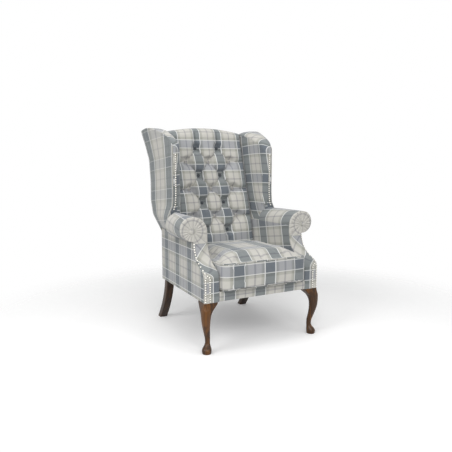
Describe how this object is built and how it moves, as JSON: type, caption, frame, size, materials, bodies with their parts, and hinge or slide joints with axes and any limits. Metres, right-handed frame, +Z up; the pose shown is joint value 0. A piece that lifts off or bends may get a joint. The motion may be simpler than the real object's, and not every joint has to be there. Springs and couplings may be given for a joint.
{
  "type": "wing armchair",
  "caption": "Wing armchair in plaid cloth with a deep-buttoned back, scroll arms, loose boxed seat cushion, cabriole front legs and raked rear legs.",
  "frame": {"origin": "on the floor under the middle of the chair's overall width and depth", "axes": "+Z up, +X to the right of someone who faces the chair from the front, -Y towards the front where the sitter's feet are, +Y to the back"},
  "size_m": [0.7984, 0.8014, 1.1271],
  "materials": {
    "plaid_fabric": "woven wool plaid in grey-blue and cream",
    "show_wood": "stained and satin varnished",
    "frame_beech": "raw sawn beech",
    "steel": "oiled spring wire and zinc strip",
    "felt": "matted felt",
    "hessian": "open jute weave",
    "black_cloth": "plain black cloth and tape",
    "zip_metal": "dull plated"
  },
  "bodies": {
    "chair_frame": {"front_seat_rail": "frame_beech", "back_seat_rail": "frame_beech", "side_seat_rail_left": "frame_beech", "side_seat_rail_right": "frame_beech", "corner_blocks": "frame_beech", "arm_stump_left": "frame_beech", "arm_stump_right": "frame_beech", "arm_rail_left": "frame_beech", "arm_rail_right": "frame_beech", "back_post_left": "show_wood", "back_post_right": "show_wood", "top_rail": "frame_beech", "back_tack_rail": "frame_beech", "wing_post_left": "frame_beech", "wing_post_right": "frame_beech", "wing_rail_left": "frame_beech", "wing_rail_right": "frame_beech", "front_leg_left": "show_wood", "front_leg_right": "show_wood", "leg_bolts": "steel", "seat_springs": "steel", "spring_clips": "steel", "seat_felt": "felt", "seat_deck": "plaid_fabric", "front_border": "plaid_fabric", "back_webbing": "black_cloth", "back_hessian": "hessian", "arm_hessian_left": "hessian", "arm_hessian_right": "hessian", "inside_arm_left": "plaid_fabric", "inside_arm_right": "plaid_fabric", "arm_facing_left": "plaid_fabric", "arm_facing_right": "plaid_fabric", "outside_arm_left": "plaid_fabric", "outside_arm_right": "plaid_fabric", "inside_wing_left": "plaid_fabric", "inside_wing_right": "plaid_fabric", "outside_wing_left": "plaid_fabric", "outside_wing_right": "plaid_fabric", "inside_back": "plaid_fabric", "back_buttons": "plaid_fabric", "outside_back": "plaid_fabric", "bottom_dust_cover": "black_cloth"},
    "cushion": {"seat_cushion": "plaid_fabric", "cushion_piping_top": "plaid_fabric", "cushion_piping_bottom": "plaid_fabric", "cushion_zip": "black_cloth"},
    "zip_slider": {"zip_slider": "zip_metal"}
  },
  "joints": [
    {"name": "cushion_lift", "type": "slide", "parent": "chair_frame", "child": "cushion", "axis": [0, 0, 1], "range_m": [0, 0.25]},
    {"name": "zip_slide", "type": "slide", "parent": "cushion", "child": "zip_slider", "axis": [1, 0, 0], "range_m": [0, 0.388]}
  ]
}
